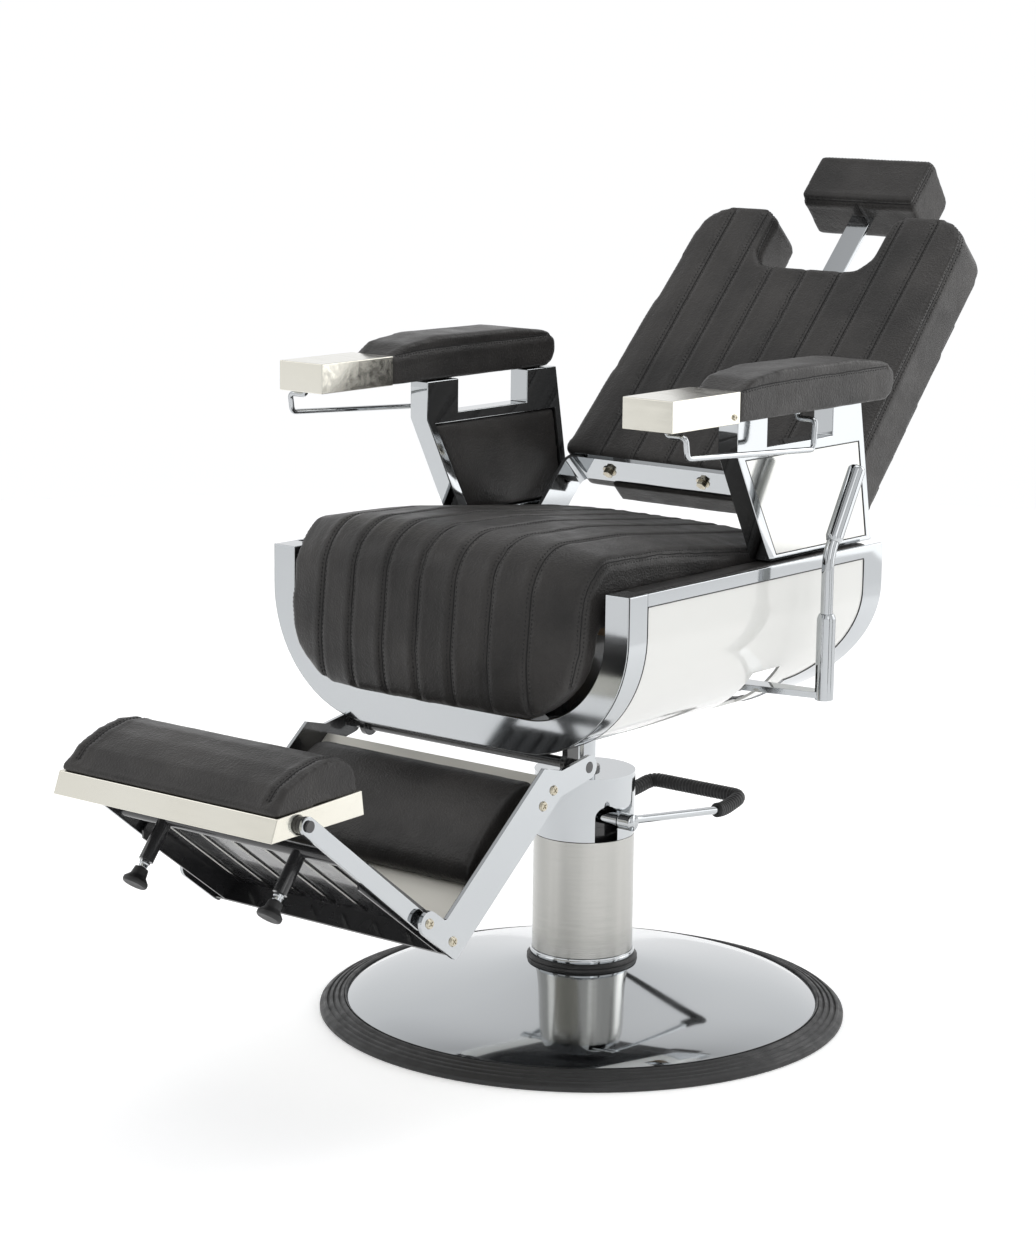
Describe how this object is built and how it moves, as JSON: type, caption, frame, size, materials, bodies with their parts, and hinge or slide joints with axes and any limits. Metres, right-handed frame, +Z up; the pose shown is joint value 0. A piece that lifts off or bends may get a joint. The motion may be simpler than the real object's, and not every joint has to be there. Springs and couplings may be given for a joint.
{
  "type": "hydraulic barber chair",
  "caption": "Reclining barber chair on a round pedestal with a pump lever, padded arms, headrest, linked leg rest and folding footrest.",
  "frame": {"origin": "on the floor, where the column's axis meets the flat underside of the base", "axes": "+Z up along the column, the sitter faces -Y, +X is the sitter's left side, where the recline lever is"},
  "size_m": [0.6999, 1.4944, 1.1079],
  "materials": {
    "chrome": "mirror chrome",
    "polished_steel": "polished stainless steel",
    "satin_steel": "fine brushed steel",
    "warm_steel": "warm polished stainless steel",
    "black_metal": "black paint",
    "cast_iron": "dark cast iron",
    "ivory_panel": "glossy ivory",
    "black_leather": "black fine-grained vinyl leather",
    "black_rubber": "black rubber",
    "plywood": "bare plywood",
    "screw_zinc": "yellow zinc plating"
  },
  "bodies": {
    "base": {"base_plate": "cast_iron", "base_dome": "chrome", "base_ring": "black_rubber", "column_gasket": "black_rubber", "column_collar": "chrome", "column_sleeve": "satin_steel", "column_shroud": "chrome", "pump_cylinder": "black_metal", "pump_head": "black_metal", "rod_gland": "black_metal", "base_bolts": "screw_zinc"},
    "pump": {"pump_lever": "chrome", "pump_grip": "black_rubber"},
    "lift": {"piston_rod": "chrome"},
    "seat": {"seat_hub": "chrome", "seat_mount": "black_metal", "seat_floor": "black_metal", "front_frame": "chrome", "side_trims": "chrome", "side_panels": "ivory_panel", "seat_board": "plywood", "side_liners": "black_leather", "seat_cushion": "black_leather", "arm_frames": "chrome", "arm_outer_panels": "polished_steel", "arm_inner_panels": "black_leather", "arm_caps": "warm_steel", "arm_pads": "black_leather", "towel_bars": "chrome", "arm_screws": "screw_zinc", "back_pivots": "satin_steel", "leg_hinges": "black_metal", "recline_spring": "black_metal"},
    "back": {"back_bracket": "chrome", "back_bolts": "screw_zinc", "back_board": "black_leather", "back_cushion": "black_leather", "headrest_socket": "black_metal"},
    "headrest": {"headrest_bar": "chrome", "headrest_cushion": "black_leather"},
    "leg_rest": {"leg_plates": "chrome", "leg_panel": "polished_steel", "calf_pad": "black_leather", "foot_platform": "black_metal", "platform_ribs": "black_rubber", "leg_screws": "screw_zinc", "lower_pins": "chrome"},
    "footrest_frame": {"footrest_arms": "chrome", "cross_bar": "black_metal", "support_posts": "black_metal", "support_feet": "black_rubber"},
    "footrest": {"upper_pins": "black_metal", "footrest_tray": "warm_steel", "tray_board": "black_metal", "footrest_pad": "black_leather"},
    "recline_lever": {"lever_arm": "chrome", "lever_tube": "chrome", "lever_rod": "chrome", "lever_grip": "chrome"}
  },
  "joints": [
    {"name": "lift", "type": "slide", "parent": "base", "child": "lift", "axis": [0, 0, 1], "range_m": [-0.03, 0.12]},
    {"name": "seat_swivel", "type": "hinge", "parent": "lift", "child": "seat", "pos_m": [0, 0, 0.43], "axis": [0, 0, 1], "continuous": true},
    {"name": "back_recline", "type": "hinge", "parent": "seat", "child": "back", "pos_m": [0, 0.178, 0.607], "axis": [-1, 0, 0], "range_deg": [-34, 6]},
    {"name": "leg_lift", "type": "hinge", "parent": "seat", "child": "leg_rest", "pos_m": [0, -0.245, 0.405], "axis": [-1, 0, 0], "range_deg": [-38, 7]},
    {"name": "headrest_slide", "type": "slide", "parent": "back", "child": "headrest", "axis": [0, 0.6947, 0.7193], "range_m": [-0.06, 0.05]},
    {"name": "footrest_fold", "type": "hinge", "parent": "leg_rest", "child": "footrest_frame", "pos_m": [0, -0.544, 0.272], "axis": [-1, 0, 0], "range_deg": [0, 60]},
    {"name": "footrest_flip", "type": "hinge", "parent": "footrest_frame", "child": "footrest", "pos_m": [0, -0.738, 0.424], "axis": [1, 0, 0], "range_deg": [0, 60]},
    {"name": "recline_lever_pull", "type": "hinge", "parent": "seat", "child": "recline_lever", "pos_m": [0.15, 0.034, 0.468], "axis": [-1, 0, 0], "range_deg": [0, 14], "stiffness_Nm_per_rad": 8, "springref_deg": -11.46},
    {"name": "pump_stroke", "type": "hinge", "parent": "base", "child": "pump", "pos_m": [0, -0.028, 0.277], "axis": [-1, 0, 0], "range_deg": [0, 14], "stiffness_Nm_per_rad": 10, "springref_deg": -20.05}
  ],
  "couplings": [
    {"joint": "leg_lift", "follows": "back_recline", "ratio": 1.1}
  ]
}
